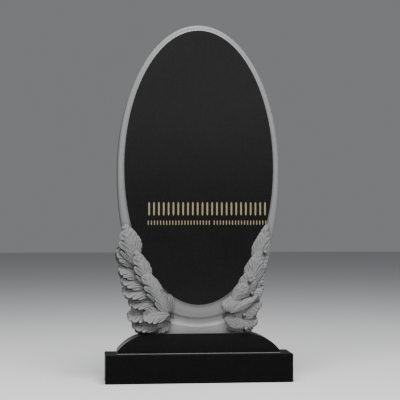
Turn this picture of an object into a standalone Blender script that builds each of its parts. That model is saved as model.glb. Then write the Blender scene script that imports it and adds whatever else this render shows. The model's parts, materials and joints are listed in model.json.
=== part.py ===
"""Carved granite headstone: an oval stele with a leaf branch on each side, standing on a low plinth.

Metres, +Z up. The front looks along -Y and the origin is under the middle of the plinth.
"""

import math

import bmesh
import bpy
from mathutils import Matrix, Vector

SMOOTH_ANGLE = 35.0

# Stele slab, measured from the top of the plinth
STELE_WIDTH = 0.60
STELE_HEIGHT = 1.21
STELE_THICKNESS = 0.10
REST_GAP = 0.0003

# Plinth block, with the ledges that it shows round the foot of the stele
PLINTH_HEIGHT = 0.105
FRONT_LEDGE = 0.035
BACK_LEDGE = 0.015
END_LEDGE = 0.045
PLINTH_ARRIS = 0.003
ARRIS_SEGMENTS = 2

# Foot of the stele, with its two round shoulders
FOOT_HEIGHT = 0.0745
FOOT_END_HEIGHT = 0.011
SHOULDER_RADIUS = 0.165
SHOULDER_STEPS = 14

# Oval: the carved rim round the polished face, and the lift of the oval over the foot
OVAL_LIFT = 0.051
RIM_SIDE = 0.0245
RIM_TOP = 0.0205
RIM_BOTTOM = 0.0535
RIM_DROP = 0.015
RIM_ROUNDNESS = 3.0
RIM_STATIONS = (0.0, 0.45, 0.75, 0.92, 1.0)
FACE_STEP = 0.006
FACE_BEVEL = 0.006
LOWER_FULLNESS = 2.2
OVAL_SEGMENTS = 96

# Neck between the foot and the oval: an upright band under a sloping one
NECK_REACH = 0.60
NECK_SETBACK = 0.025
NECK_SLOPE = 0.30
NECK_BAND = 0.022
NECK_ARC_RADIUS = 0.35
NECK_COLUMNS = 12

# Rough ground behind the leaves, which ends a little behind the front of the neck
BRANCH_HEIGHT = 0.40
GROUND_INSIDE = 0.30
GROUND_SETBACK = 0.005
GROUND_STEPS = 10

# Leaf blades
LOBE_STEPS = 4
LEAF_ACROSS = (-1.0, -0.55, 0.0, 0.55, 1.0)
LEAF_SEAT = 0.025
LEAF_GROOVE = 0.003
LEAF_SWELL = 0.004
LEAF_RISE = 0.010
LEAF_ARCH = 0.8
LEAF_SINK = 0.5
LEAF_END_WIDTH = 0.02
LOBE_ROUNDNESS = 0.5
EDGE_BEND = 1.1

# Worked out from the sizes above
PLINTH_WIDTH = STELE_WIDTH + 2 * END_LEDGE
PLINTH_DEPTH = FRONT_LEDGE + STELE_THICKNESS + BACK_LEDGE
HALF_WIDTH = STELE_WIDTH / 2
FACE_Y = FRONT_LEDGE - PLINTH_DEPTH / 2
BACK_Y = FACE_Y + STELE_THICKNESS
NECK_Y = FACE_Y + NECK_SETBACK
GROUND_Y = NECK_Y + GROUND_SETBACK
FOOT_TOP_Z = PLINTH_HEIGHT + FOOT_HEIGHT
TOP_Z = PLINTH_HEIGHT + STELE_HEIGHT
OVAL_BOTTOM_Z = FOOT_TOP_Z + OVAL_LIFT
OVAL_MID_Z = (TOP_Z + OVAL_BOTTOM_Z) / 2
OVAL_HALF_HEIGHT = (TOP_Z - OVAL_BOTTOM_Z) / 2
FACE_HALF_WIDTH = HALF_WIDTH - RIM_SIDE
FACE_HALF_HEIGHT = OVAL_HALF_HEIGHT - (RIM_TOP + RIM_BOTTOM) / 2
FACE_MID_Z = OVAL_MID_Z + (RIM_BOTTOM - RIM_TOP) / 2

# The kinds of leaf blade: its lobes down each side, how deep the bays between them are on either side,
# where the blade is widest and how full it is, how far its edges swing towards the tip, and how far its
# middle stands proud of its edges, as a share of the stele's thickness (below 0 it is hollowed)
OAK_BLADES = {
    "trough": {
        "lobes": 4, "bays": (0.24, 0.16), "widest": 0.36, "fullness": 0.34, "lean": 0.38, "crown": -0.09,
    },
    "flat": {
        "lobes": 4, "bays": (0.24, 0.18), "widest": 0.34, "fullness": 0.40, "lean": 0.38, "crown": -0.03,
    },
    "upright": {
        "lobes": 4, "bays": (0.34, 0.07), "widest": 0.20, "fullness": 0.46, "lean": 0.34, "crown": 0.06,
    },
    "small": {
        "lobes": 3, "bays": (0.24, 0.24), "widest": 0.36, "fullness": 0.40, "lean": 0.34, "crown": -0.03,
    },
}
BAY_BLADES = {
    "pointed": {
        "lobes": 4, "bays": (0.05, 0.05), "widest": 0.24, "fullness": 0.60, "lean": 0.34, "crown": 0.05,
    },
    "smooth": {
        "lobes": 3, "bays": (0.02, 0.06), "widest": 0.20, "fullness": 0.56, "lean": 0.34, "crown": 0.07,
    },
    "wavy": {
        "lobes": 4, "bays": (0.12, 0.12), "widest": 0.26, "fullness": 0.55, "lean": 0.36, "crown": -0.02,
    },
    "broad": {
        "lobes": 3, "bays": (0.03, 0.05), "widest": 0.30, "fullness": 0.32, "lean": 0.16, "crown": 0.06,
    },
}

# A leaf is (root across, root up, tip across, tip up, half width, roll, depth, blade). Across is a share of
# half the stele's width from its middle; up and the half width are shares of the branch's height over the
# foot. Roll brings the lower edge forward, and depth is how far the leaf lies behind the polished face, as a
# share of the stele's thickness.
OAK_LEAVES = (
    (0.430, 0.072, 0.825, 0.080, 0.066, 0.30, 0.14, "trough"),
    (0.345, 0.110, 0.520, 0.020, 0.052, 0.00, 0.12, "small"),
    (0.490, 0.205, 0.885, 0.157, 0.078, 0.45, 0.04, "trough"),
    (0.480, 0.285, 0.872, 0.294, 0.072, 0.45, 0.03, "trough"),
    (0.540, 0.378, 0.948, 0.398, 0.080, 0.45, 0.01, "trough"),
    (0.610, 0.425, 0.960, 0.530, 0.082, 0.40, 0.03, "trough"),
    (0.690, 0.510, 0.985, 0.625, 0.078, 0.40, 0.05, "trough"),
    (0.740, 0.590, 1.005, 0.790, 0.076, 0.35, 0.06, "flat"),
    (0.750, 0.610, 0.895, 1.012, 0.098, 0.05, -0.02, "upright"),
    (0.585, 0.390, 0.795, 0.775, 0.084, 0.10, -0.03, "upright"),
    (0.430, 0.240, 0.710, 0.600, 0.082, 0.10, -0.04, "upright"),
    (0.365, 0.100, 0.500, 0.402, 0.074, 0.10, -0.04, "flat"),
    (0.344, 0.199, 0.344, 0.346, 0.022, 0.00, 0.06, "small"),
    (0.350, 0.190, 0.695, 0.152, 0.078, 0.35, -0.04, "trough"),
)
BAY_LEAVES = (
    (0.345, 0.035, 0.680, 0.040, 0.050, 0.20, 0.14, "wavy"),
    (0.310, 0.135, 0.730, 0.101, 0.082, 0.30, 0.04, "broad"),
    (0.420, 0.160, 0.785, 0.280, 0.092, 0.35, 0.02, "smooth"),
    (0.540, 0.300, 0.806, 0.432, 0.076, 0.40, 0.04, "pointed"),
    (0.560, 0.370, 0.806, 0.598, 0.080, 0.35, 0.05, "wavy"),
    (0.590, 0.470, 0.870, 0.764, 0.076, 0.35, 0.05, "pointed"),
    (0.690, 0.540, 0.845, 1.006, 0.088, 0.03, -0.02, "smooth"),
    (0.615, 0.380, 0.745, 0.770, 0.094, 0.05, -0.03, "smooth"),
    (0.530, 0.280, 0.660, 0.610, 0.088, 0.05, -0.04, "pointed"),
    (0.600, 0.295, 0.280, 0.245, 0.080, 0.20, -0.02, "broad"),
    (0.360, 0.285, 0.625, 0.495, 0.086, 0.15, -0.05, "pointed"),
    (0.380, 0.186, 0.735, 0.345, 0.044, 0.30, -0.11, "smooth"),
)

# Where the edge of a branch's ground starts over the foot and ends in the oval's side, as shares of half the
# stele's width
OAK_GROUND = {"low": 0.683, "high": 0.93}
BAY_GROUND = {"low": 0.633, "high": 0.87}

# Berries among the leaves on the right: (across, up, radius, depth), the last two as shares of the thickness
BERRIES = (
    (0.816, 0.746, 0.080, -0.11),
    (0.617, 0.488, 0.080, -0.12),
    (0.642, 0.368, 0.070, -0.03),
    (0.543, 0.166, 0.070, -0.10),
    (0.568, 0.045, 0.065, -0.10),
)
BERRY_SEGMENTS = 10
BERRY_RINGS = 6


def clear_scene():
    """Start from an empty scene."""
    for thing in list(bpy.data.objects):
        bpy.data.objects.remove(thing, do_unlink=True)


def new_collection(name):
    made = bpy.data.collections.new(name)
    bpy.context.scene.collection.children.link(made)
    return made


def stone(name, colour, roughness):
    """A Principled material for a granite finish."""
    made = bpy.data.materials.new(name)
    made.use_nodes = True
    shader = made.node_tree.nodes["Principled BSDF"]
    shader.inputs["Base Color"].default_value = (*colour, 1.0)
    shader.inputs["Roughness"].default_value = roughness
    shader.inputs["Metallic"].default_value = 0.0
    return made


def mesh_object(name, shape, collection):
    """Turn a bmesh into a smooth-shaded object whose faces point outwards."""
    bmesh.ops.recalc_face_normals(shape, faces=shape.faces)
    mesh = bpy.data.meshes.new(name)
    shape.to_mesh(mesh)
    shape.free()
    mesh.shade_smooth()
    mesh.set_sharp_from_angle(angle=math.radians(SMOOTH_ANGLE))
    made = bpy.data.objects.new(name, mesh)
    collection.objects.link(made)
    return made


def place_in_stele(across, up, y):
    """A point given by its share of the half width and of the branch height over the foot."""
    return Vector((across * HALF_WIDTH, y, FOOT_TOP_Z + up * BRANCH_HEIGHT))


def plate(name, outline, front_y, back_y, collection):
    """A flat solid cut to an outline of (x, z) points: a filled flat curve, extruded both ways."""
    curve = bpy.data.curves.new(name, "CURVE")
    curve.dimensions = "2D"
    curve.fill_mode = "BOTH"
    curve.extrude = (back_y - front_y) / 2
    line = curve.splines.new("POLY")
    line.points.add(len(outline) - 1)
    line.use_cyclic_u = True
    for point, (x, z) in zip(line.points, outline):
        point.co = (x, z, 0.0, 1.0)
    drawn = bpy.data.objects.new(name, curve)
    bpy.context.scene.collection.objects.link(drawn)
    graph = bpy.context.evaluated_depsgraph_get()
    solid = bpy.data.meshes.new_from_object(drawn.evaluated_get(graph))
    shape = bmesh.new()
    shape.from_mesh(solid)
    bpy.data.objects.remove(drawn, do_unlink=True)
    bmesh.ops.remove_doubles(shape, verts=shape.verts, dist=REST_GAP / 10)
    stand = Matrix.Translation((0.0, (front_y + back_y) / 2, 0.0)) @ Matrix.Rotation(math.pi / 2, 4, "X")
    bmesh.ops.transform(shape, matrix=stand, verts=shape.verts)
    return mesh_object(name, shape, collection)


def relief_solid(name, rows, back_y, collection):
    """A closed solid whose front is a grid of points and whose back is flat at back_y."""
    shape = bmesh.new()
    front = [[shape.verts.new(point) for point in row] for row in rows]
    for low, high in zip(front, front[1:]):
        for i in range(len(low) - 1):
            shape.faces.new((low[i], low[i + 1], high[i + 1], high[i]))
    rim = border(front)
    rear = [shape.verts.new((point.co.x, back_y, point.co.z)) for point in rim]
    for i in range(len(rim)):
        j = (i + 1) % len(rim)
        shape.faces.new((rim[i], rim[j], rear[j], rear[i]))
    shape.faces.new(rear)
    return mesh_object(name, shape, collection)


def border(rows):
    """The points round the border of a grid, in order."""
    right = [row[-1] for row in rows[1:-1]]
    left = [row[0] for row in rows[1:-1]]
    return rows[0] + right + rows[-1][::-1] + left[::-1]


def oval_ring(half_width, half_height, mid_z, lower_power):
    """Points round an oval whose lower half is an ellipse or a little fuller than one."""
    ring = []
    for i in range(OVAL_SEGMENTS):
        angle = 2 * math.pi * i / OVAL_SEGMENTS
        x, z = math.cos(angle), math.sin(angle)
        if z < 0:
            x = math.copysign(abs(x) ** (2 / lower_power), x)
            z = -(abs(z) ** (2 / lower_power))
        ring.append(Vector((half_width * x, 0.0, mid_z + half_height * z)))
    return ring


def at_depth(ring, y):
    return [Vector((point.x, y, point.z)) for point in ring]


def oval_sections():
    """Rings from the back of the slab, round its side and rim, to the edge of the polished face."""
    outer = oval_ring(HALF_WIDTH, OVAL_HALF_HEIGHT, OVAL_MID_Z, LOWER_FULLNESS)
    inner = oval_ring(FACE_HALF_WIDTH + FACE_BEVEL, FACE_HALF_HEIGHT + FACE_BEVEL, FACE_MID_Z, 2.0)
    face = oval_ring(FACE_HALF_WIDTH, FACE_HALF_HEIGHT, FACE_MID_Z, 2.0)
    sections = [at_depth(outer, BACK_Y)]
    for station in reversed(RIM_STATIONS):
        ring = [a.lerp(b, station) for a, b in zip(inner, outer)]
        drop = RIM_DROP * (1 - math.sqrt(1 - station**RIM_ROUNDNESS))
        sections.append(at_depth(ring, FACE_Y + FACE_STEP + drop))
    sections.append(at_depth(face, FACE_Y))
    return sections


def make_oval(collection):
    """The oval slab, with its side wall, rounded rim, bevel and flat polished face."""
    shape = bmesh.new()
    rings = [[shape.verts.new(point) for point in ring] for ring in oval_sections()]
    for low, high in zip(rings, rings[1:]):
        for i in range(OVAL_SEGMENTS):
            j = (i + 1) % OVAL_SEGMENTS
            shape.faces.new((low[i], low[j], high[j], high[i]))
    shape.faces.new(rings[0])
    shape.faces.new(rings[-1])
    return mesh_object("stele", shape, collection)


def make_foot(collection):
    """The foot: a low slab whose shoulders are arcs that run level into its top."""
    drop = FOOT_HEIGHT - FOOT_END_HEIGHT
    sweep = math.acos(1 - drop / SHOULDER_RADIUS)
    level_x = HALF_WIDTH - SHOULDER_RADIUS * math.sin(sweep)
    right = [(HALF_WIDTH, PLINTH_HEIGHT + REST_GAP)]
    for i in range(SHOULDER_STEPS + 1):
        angle = sweep * (1 - i / SHOULDER_STEPS)
        x = level_x + SHOULDER_RADIUS * math.sin(angle)
        z = FOOT_TOP_Z - SHOULDER_RADIUS * (1 - math.cos(angle))
        right.append((x, z))
    outline = right + [(-x, z) for x, z in reversed(right)]
    return plate("foot", outline, FACE_Y, BACK_Y, collection)


def make_neck(collection):
    """The neck: upright above the foot, then sloping back under the oval from a shallow arc."""
    low, arc, high = [], [], []
    top_z = OVAL_BOTTOM_Z + RIM_BOTTOM
    for i in range(NECK_COLUMNS + 1):
        x = NECK_REACH * HALF_WIDTH * (2 * i / NECK_COLUMNS - 1)
        arc_z = FOOT_TOP_Z + NECK_BAND + x * x / (2 * NECK_ARC_RADIUS)
        low.append(Vector((x, NECK_Y, PLINTH_HEIGHT + FOOT_HEIGHT / 2)))
        arc.append(Vector((x, NECK_Y, arc_z)))
        high.append(Vector((x, NECK_Y + NECK_SLOPE * (top_z - arc_z), top_z)))
    return relief_solid("neck", [low, arc, high], BACK_Y, collection)


def make_ground(name, side, edge, collection):
    """The rough ground of a branch: its outer edge swings from the foot up into the side of the oval."""
    outline = []
    for i in range(GROUND_STEPS + 1):
        up = i / GROUND_STEPS
        across = edge["low"] + (edge["high"] - edge["low"]) * math.sqrt(up)
        outline.append(place_in_stele(side * across, up, 0.0))
    outline[0].z -= FOOT_HEIGHT / 4
    inside = side * GROUND_INSIDE * HALF_WIDTH
    outline += [Vector((inside, 0.0, outline[-1].z)), Vector((inside, 0.0, outline[0].z))]
    return plate(name, [(p.x, p.z) for p in outline], GROUND_Y, BACK_Y, collection)


def lobe_wave(u, blade):
    """0 in the bays between a leaf's lobes and 1 on each lobe, with the last lobe on the tip itself."""
    return abs(math.sin(math.pi * (blade["lobes"] - 0.5) * u)) ** LOBE_ROUNDNESS


def leaf_half_width(u, side, blade):
    """Half the blade's width at u along the rib, on side 0 or 1, as a share of its widest."""
    swell = u ** math.log(0.5, blade["widest"])
    full = max(0.0, math.sin(math.pi * swell)) ** blade["fullness"]
    return max(LEAF_END_WIDTH, full * (1 - blade["bays"][side] * (1 - lobe_wave(u, blade))))


def leaf_rows(side, leaf, blade):
    """Front points of one leaf, from root to tip. The side is -1 on the left and 1 on the right."""
    root_across, root_up, tip_across, tip_up, half_width, roll, depth, _ = leaf
    front_y = FACE_Y + depth * STELE_THICKNESS
    root = place_in_stele(side * root_across, root_up, front_y)
    tip = place_in_stele(side * tip_across, tip_up, front_y)
    along = (tip - root).normalized()
    across = Vector((-along.z, 0.0, along.x)) * half_width * BRANCH_HEIGHT
    forward = roll * math.copysign(half_width * BRANCH_HEIGHT, across.z)
    steps = round(LOBE_STEPS * (blade["lobes"] - 0.5))
    rows = []
    for i in range(steps + 1):
        u = i / steps
        rise = LEAF_RISE * (math.sin(LEAF_ARCH * math.pi * u) - LEAF_SINK)
        row = []
        for v in LEAF_ACROSS:
            wide = leaf_half_width(u, 0 if v > 0 else 1, blade)
            swing = blade["lean"] * (abs(v) * wide) ** EDGE_BEND * (1 - u)
            crown = blade["crown"] * STELE_THICKNESS * (1 - v * v) - LEAF_GROOVE * (v == 0.0)
            swell = LEAF_SWELL * lobe_wave(u, blade) * (0 < abs(v) < 1)
            point = root.lerp(tip, u + swing) + across * (v * wide)
            point.y += forward * v * wide - crown - swell - rise
            row.append(point)
        rows.append(row)
    return rows


def make_branch(name, side, leaves, blades, edge, collection):
    """One branch: its ground, and a solid for each leaf that is seated in the ground."""
    make_ground(f"{name}_ground", side, edge, collection)
    for number, leaf in enumerate(leaves, 1):
        rows = leaf_rows(side, leaf, blades[leaf[-1]])
        relief_solid(f"{name}_{number:02d}", rows, GROUND_Y + LEAF_SEAT, collection)


def make_berries(collection):
    """Small round berries that stand half out of the leaves on the right."""
    for number, (across, up, radius, depth) in enumerate(BERRIES, 1):
        shape = bmesh.new()
        size = radius * STELE_THICKNESS
        bmesh.ops.create_uvsphere(shape, u_segments=BERRY_SEGMENTS, v_segments=BERRY_RINGS, radius=size)
        place = place_in_stele(across, up, FACE_Y + depth * STELE_THICKNESS)
        bmesh.ops.translate(shape, verts=shape.verts, vec=place)
        mesh_object(f"berry_{number}", shape, collection)


def join_all(body, solids):
    """One exact union of the body with every solid of a collection."""
    joint = body.modifiers.new("joined", "BOOLEAN")
    joint.operation = "UNION"
    joint.solver = "EXACT"
    joint.operand_type = "COLLECTION"
    joint.collection = solids
    joint.use_self = True
    for solid in solids.objects:
        solid.hide_render = True
        solid.display_type = "WIRE"


def make_stele(parts, solids):
    """The whole carved slab as one solid."""
    stele = make_oval(parts)
    make_neck(solids)
    make_foot(solids)
    make_branch("oak", -1, OAK_LEAVES, OAK_BLADES, OAK_GROUND, solids)
    make_branch("bay", 1, BAY_LEAVES, BAY_BLADES, BAY_GROUND, solids)
    make_berries(solids)
    join_all(stele, solids)
    stele.data.materials.append(stone("carved_granite", (0.33, 0.33, 0.335), 0.75))
    return stele


def make_plinth(parts):
    """The polished block under the stele, with its arrises just broken."""
    shape = bmesh.new()
    bmesh.ops.create_cube(shape, size=1.0)
    bmesh.ops.scale(shape, verts=shape.verts, vec=(PLINTH_WIDTH, PLINTH_DEPTH, PLINTH_HEIGHT))
    bmesh.ops.translate(shape, verts=shape.verts, vec=(0.0, 0.0, PLINTH_HEIGHT / 2))
    plinth = mesh_object("plinth", shape, parts)
    arris = plinth.modifiers.new("arris", "BEVEL")
    arris.width = PLINTH_ARRIS
    arris.segments = ARRIS_SEGMENTS
    plinth.data.materials.append(stone("polished_granite", (0.012, 0.012, 0.013), 0.12))
    return plinth


def main():
    clear_scene()
    parts = new_collection("headstone")
    solids = new_collection("joined_solids")
    make_plinth(parts)
    make_stele(parts, solids)


main()
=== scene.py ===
import json
import math

import bmesh
import bpy
from mathutils import Matrix, Vector, noise
from mathutils.bvhtree import BVHTree

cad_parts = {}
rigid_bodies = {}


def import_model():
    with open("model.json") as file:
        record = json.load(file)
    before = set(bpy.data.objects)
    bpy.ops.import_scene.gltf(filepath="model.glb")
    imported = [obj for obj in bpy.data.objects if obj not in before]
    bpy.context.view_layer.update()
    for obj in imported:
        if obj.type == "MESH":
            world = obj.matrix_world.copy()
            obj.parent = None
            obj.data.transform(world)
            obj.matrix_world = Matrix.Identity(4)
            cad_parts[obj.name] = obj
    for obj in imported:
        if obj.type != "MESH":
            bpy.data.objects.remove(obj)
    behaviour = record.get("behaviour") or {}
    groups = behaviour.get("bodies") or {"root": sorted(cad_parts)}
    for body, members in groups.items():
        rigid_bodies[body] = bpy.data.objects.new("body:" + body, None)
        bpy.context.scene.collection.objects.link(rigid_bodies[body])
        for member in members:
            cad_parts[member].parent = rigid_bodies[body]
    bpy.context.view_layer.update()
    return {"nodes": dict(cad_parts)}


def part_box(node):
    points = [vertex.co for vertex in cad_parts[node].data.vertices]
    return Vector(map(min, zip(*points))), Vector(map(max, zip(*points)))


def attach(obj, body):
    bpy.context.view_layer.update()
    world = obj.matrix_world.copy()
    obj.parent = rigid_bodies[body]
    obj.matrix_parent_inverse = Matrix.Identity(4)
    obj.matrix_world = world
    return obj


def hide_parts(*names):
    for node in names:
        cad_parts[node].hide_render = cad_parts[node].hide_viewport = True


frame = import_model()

plinthLow, plinthHigh = [Vector(corner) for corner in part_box("plinth")]
steleLow, steleHigh = [Vector(corner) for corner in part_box("stele")]
outward = Vector((0, -1, 0))      # the way the polished face looks

# the stone slab in metres, standing on the plinth that the frame gives
slab = {
    "halfWidth": 0.30,
    "thickness": 0.10,
    "frontLedge": 0.035,          # plinth top that shows in front of the foot
    "footHeight": 0.0745,
    "footEndHeight": 0.011,
    "shoulderRadius": 0.165,
    "shoulderSteps": 40,
    "footArris": 0.0012,
    "ovalLift": 0.051,            # from the foot's top to the bottom of the oval
    "rimSide": 0.0245,
    "rimTop": 0.0205,
    "rimBottom": 0.0535,
    "rimDrop": 0.015,
    "rimRoundness": 3.0,
    "rimStations": 18,
    "faceStep": 0.006,
    "faceBevel": 0.006,
    "faceArris": 0.0006,
    "backArris": 0.0015,
    "lowerFullness": 2.2,         # of the outline; 2 is an ellipse
    "faceFullness": 2.0,
    "segments": 320,
    "neckReach": 0.60,
    "neckSetback": 0.025,
    "neckSlope": 0.30,
    "neckBand": 0.022,
    "neckArcRadius": 0.35,
    "neckColumns": 48,
    "branchHeight": 0.40,
    "oakGround": (0.683, 0.93),   # how far out the ground reaches, at its foot and at its top
    "bayGround": (0.633, 0.87),
    "groundInside": 0.30,
    "groundSetback": 0.005,
    "groundSteps": 24,
    "samePlane": 1e-6,
    "mergeDistance": 0.00002,
    "smoothAngle": 28,
}

faceY = plinthLow.y + slab["frontLedge"]
backY = faceY + slab["thickness"]
neckY = faceY + slab["neckSetback"]
groundY = neckY + slab["groundSetback"]
footTopZ = plinthHigh.z + slab["footHeight"]
ovalBottomZ = footTopZ + slab["ovalLift"]
ovalMidZ = (steleHigh.z + ovalBottomZ) / 2
ovalHalfHeight = (steleHigh.z - ovalBottomZ) / 2
faceHalfWidth = slab["halfWidth"] - slab["rimSide"]
faceHalfHeight = ovalHalfHeight - (slab["rimTop"] + slab["rimBottom"]) / 2
faceMidZ = ovalMidZ + (slab["rimBottom"] - slab["rimTop"]) / 2


def onStele(across, up, y):
    # shares of the half width and of the branch height over the foot
    return Vector((across * slab["halfWidth"], y, footTopZ + up * slab["branchHeight"]))


def linkNew(name, data):
    thing = bpy.data.objects.new(name, data)
    bpy.context.scene.collection.objects.link(thing)
    return thing


def meshFrom(name, shape):
    bmesh.ops.recalc_face_normals(shape, faces=shape.faces)
    mesh = bpy.data.meshes.new(name)
    shape.to_mesh(mesh)
    shape.free()
    return mesh


def plainMesh(thing):
    # the evaluated result as a plain mesh, with every modifier gone
    graph = bpy.context.evaluated_depsgraph_get()
    mesh = bpy.data.meshes.new_from_object(thing.evaluated_get(graph))
    thing.modifiers.clear()
    thing.data = mesh
    return mesh


# materials
def newFinish(name):
    finish = bpy.data.materials.new(name)
    finish.use_nodes = True
    nodes = finish.node_tree.nodes
    return finish, nodes, finish.node_tree.links, nodes["Principled BSDF"]


def addNode(nodes, kind, **values):
    node = nodes.new(kind)
    for key, value in values.items():
        setattr(node, key, value)
    return node


def noiseOn(nodes, links, coords, scale, detail=3.0, roughness=0.5):
    node = addNode(nodes, "ShaderNodeTexNoise")
    node.inputs["Scale"].default_value = scale
    node.inputs["Detail"].default_value = detail
    node.inputs["Roughness"].default_value = roughness
    links.new(coords.outputs["Object"], node.inputs["Vector"])
    return node.outputs["Fac"]


def crystalsOn(nodes, links, coords, scale):
    node = addNode(nodes, "ShaderNodeTexVoronoi")
    node.inputs["Scale"].default_value = scale
    links.new(coords.outputs["Object"], node.inputs["Vector"])
    return node.outputs["Color"]


def rangeOf(nodes, links, value, fromLow, fromHigh, toLow, toHigh):
    node = addNode(nodes, "ShaderNodeMapRange")
    node.inputs["From Min"].default_value = fromLow
    node.inputs["From Max"].default_value = fromHigh
    node.inputs["To Min"].default_value = toLow
    node.inputs["To Max"].default_value = toHigh
    links.new(value, node.inputs["Value"])
    return node.outputs["Result"]


def mixOf(nodes, links, factor, first, second, blend="MIX"):
    node = addNode(nodes, "ShaderNodeMix", data_type="RGBA", blend_type=blend)
    sockets = [("Factor", factor), ("A", first), ("B", second)]
    for label, value in sockets:
        wanted = "VALUE" if label == "Factor" else "RGBA"
        socket = [s for s in node.inputs if s.name == label and s.type == wanted][0]
        if isinstance(value, bpy.types.NodeSocket):
            links.new(value, socket)
        else:
            socket.default_value = value
    return [s for s in node.outputs if s.type == "RGBA"][0]


def bumpOn(nodes, links, height, strength, distance, under=None):
    node = addNode(nodes, "ShaderNodeBump")
    node.inputs["Strength"].default_value = strength
    node.inputs["Distance"].default_value = distance
    links.new(height, node.inputs["Height"])
    if under is not None:
        links.new(under, node.inputs["Normal"])
    return node.outputs["Normal"]


def grey(level):
    return (level, level, level, 1.0)


# most of a noise texture's values lie in these ranges
noiseRange = (0.3, 0.7)
grainRange = (0.32, 0.68)

faceFinish = {
    "stone": 0.0042,
    "fleck": 0.028,
    "crystalScale": 420,
    "crystalTones": (0.55, 1.5),
    "fleckScale": 900,
    "fleckRange": (0.62, 0.74),
    "wearScale": 7.0,
    "roughness": (0.17, 0.23),
    "specular": 0.17,
}
baseFinish = dict(faceFinish, stone=0.0050, fleck=0.026, roughness=(0.16, 0.24), specular=0.004)
footFinish = dict(baseFinish, stone=0.0082)


def polishedGranite(name, polish):
    # near-black gabbro: dark crystals with a few grey flecks under the polish
    finish, nodes, links, shader = newFinish(name)
    coords = addNode(nodes, "ShaderNodeTexCoord")
    crystals = crystalsOn(nodes, links, coords, polish["crystalScale"])
    tone = rangeOf(nodes, links, crystals, 0.0, 1.0, *polish["crystalTones"])
    flecks = noiseOn(nodes, links, coords, polish["fleckScale"], detail=2.0)
    fleckMask = rangeOf(nodes, links, flecks, *polish["fleckRange"], 0.0, 1.0)
    base = mixOf(nodes, links, 1.0, grey(polish["stone"]), tone, "MULTIPLY")
    colour = mixOf(nodes, links, fleckMask, base, grey(polish["fleck"]))
    links.new(colour, shader.inputs["Base Color"])
    wear = noiseOn(nodes, links, coords, polish["wearScale"], detail=4.0)
    gloss = rangeOf(nodes, links, wear, *noiseRange, *polish["roughness"])
    links.new(gloss, shader.inputs["Roughness"])
    shader.inputs["Specular IOR Level"].default_value = polish["specular"]
    return finish


# the shade painted on a vertex runs from 0 on the surface to 1 deep in a cut, in a crevice or under a leaf,
# and to -worn on a struck lip, where the stone is bruised paler
carving = {
    "light": 0.205,
    "dark": 0.135,
    # the grey that full painted shade brings the stone to
    "shadeAndBruise": 0.014,
    "worn": 0.3,
    "bruise": 1.5,
    "grainScale": 620,
    "grainHeight": 0.00035,
    "grainBump": 0.5,
    "cloudScale": 9,
    "clouds": (0.93, 1.06),
    "peckScale": 240,
    "peckHeight": 0.0007,
    "peckBump": 0.35,
    "roughness": (0.62, 0.82),
    "specular": 0.3,
}


def carvedGranite(name, tone):
    # bruised matt granite: pale where the tool has struck it, and darkened with painted shade down in the
    # cuts, the crevices and under the leaves
    finish, nodes, links, shader = newFinish(name)
    coords = addNode(nodes, "ShaderNodeTexCoord")
    grain = noiseOn(nodes, links, coords, carving["grainScale"], roughness=0.65)
    cloud = noiseOn(nodes, links, coords, carving["cloudScale"], detail=4.0)
    pecks = addNode(nodes, "ShaderNodeTexVoronoi", feature="SMOOTH_F1")
    pecks.inputs["Scale"].default_value = carving["peckScale"]
    links.new(coords.outputs["Object"], pecks.inputs["Vector"])
    spread = rangeOf(nodes, links, grain, *grainRange, 0.0, 1.0)
    base = mixOf(nodes, links, spread, grey(carving["dark"] * tone), grey(carving["light"] * tone))
    clouds = rangeOf(nodes, links, cloud, *noiseRange, *carving["clouds"])
    clouded = mixOf(nodes, links, 1.0, base, clouds, "MULTIPLY")
    shadeAndBruise = addNode(nodes, "ShaderNodeAttribute", attribute_name="shadeAndBruise").outputs["Fac"]
    bruise = rangeOf(nodes, links, shadeAndBruise, -carving["worn"], 0.0, carving["bruise"], 1.0)
    bruised = mixOf(nodes, links, 1.0, clouded, bruise, "MULTIPLY")
    # painted shade: the colour goes towards that grey as the shade painted on the vertex rises
    colour = mixOf(nodes, links, shadeAndBruise, bruised, grey(carving["shadeAndBruise"] * tone))
    links.new(colour, shader.inputs["Base Color"])
    rough = rangeOf(nodes, links, grain, *noiseRange, *carving["roughness"])
    links.new(rough, shader.inputs["Roughness"])
    shader.inputs["Specular IOR Level"].default_value = carving["specular"]
    grained = bumpOn(nodes, links, grain, carving["grainBump"], carving["grainHeight"])
    depths = pecks.outputs["Distance"]
    pecked = bumpOn(nodes, links, depths, carving["peckBump"], carving["peckHeight"], grained)
    links.new(pecked, shader.inputs["Normal"])
    return finish


honed = {
    "dark": 0.030,
    "light": 0.055,
    "grainScale": 700,
    "sawStretch": (260, 1.0, 2.0),      # narrow across the stone and long up it
    "sawBump": 0.3,
    "sawHeight": 0.0002,
    "roughness": (0.42, 0.56),
}


def honedGranite():
    # the back: ground flat but not polished, with faint upright saw lines
    finish, nodes, links, shader = newFinish("honedGranite")
    coords = addNode(nodes, "ShaderNodeTexCoord")
    grain = noiseOn(nodes, links, coords, honed["grainScale"], roughness=0.6)
    spread = rangeOf(nodes, links, grain, *grainRange, 0.0, 1.0)
    colour = mixOf(nodes, links, spread, grey(honed["dark"]), grey(honed["light"]))
    links.new(colour, shader.inputs["Base Color"])
    stretch = addNode(nodes, "ShaderNodeMapping")
    stretch.inputs["Scale"].default_value = honed["sawStretch"]
    links.new(coords.outputs["Object"], stretch.inputs["Vector"])
    lines = addNode(nodes, "ShaderNodeTexNoise")
    lines.inputs["Scale"].default_value = 1.0
    links.new(stretch.outputs["Vector"], lines.inputs["Vector"])
    rough = rangeOf(nodes, links, lines.outputs["Fac"], *noiseRange, *honed["roughness"])
    links.new(rough, shader.inputs["Roughness"])
    sawn = bumpOn(nodes, links, lines.outputs["Fac"], honed["sawBump"], honed["sawHeight"])
    links.new(sawn, shader.inputs["Normal"])
    return finish


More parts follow.
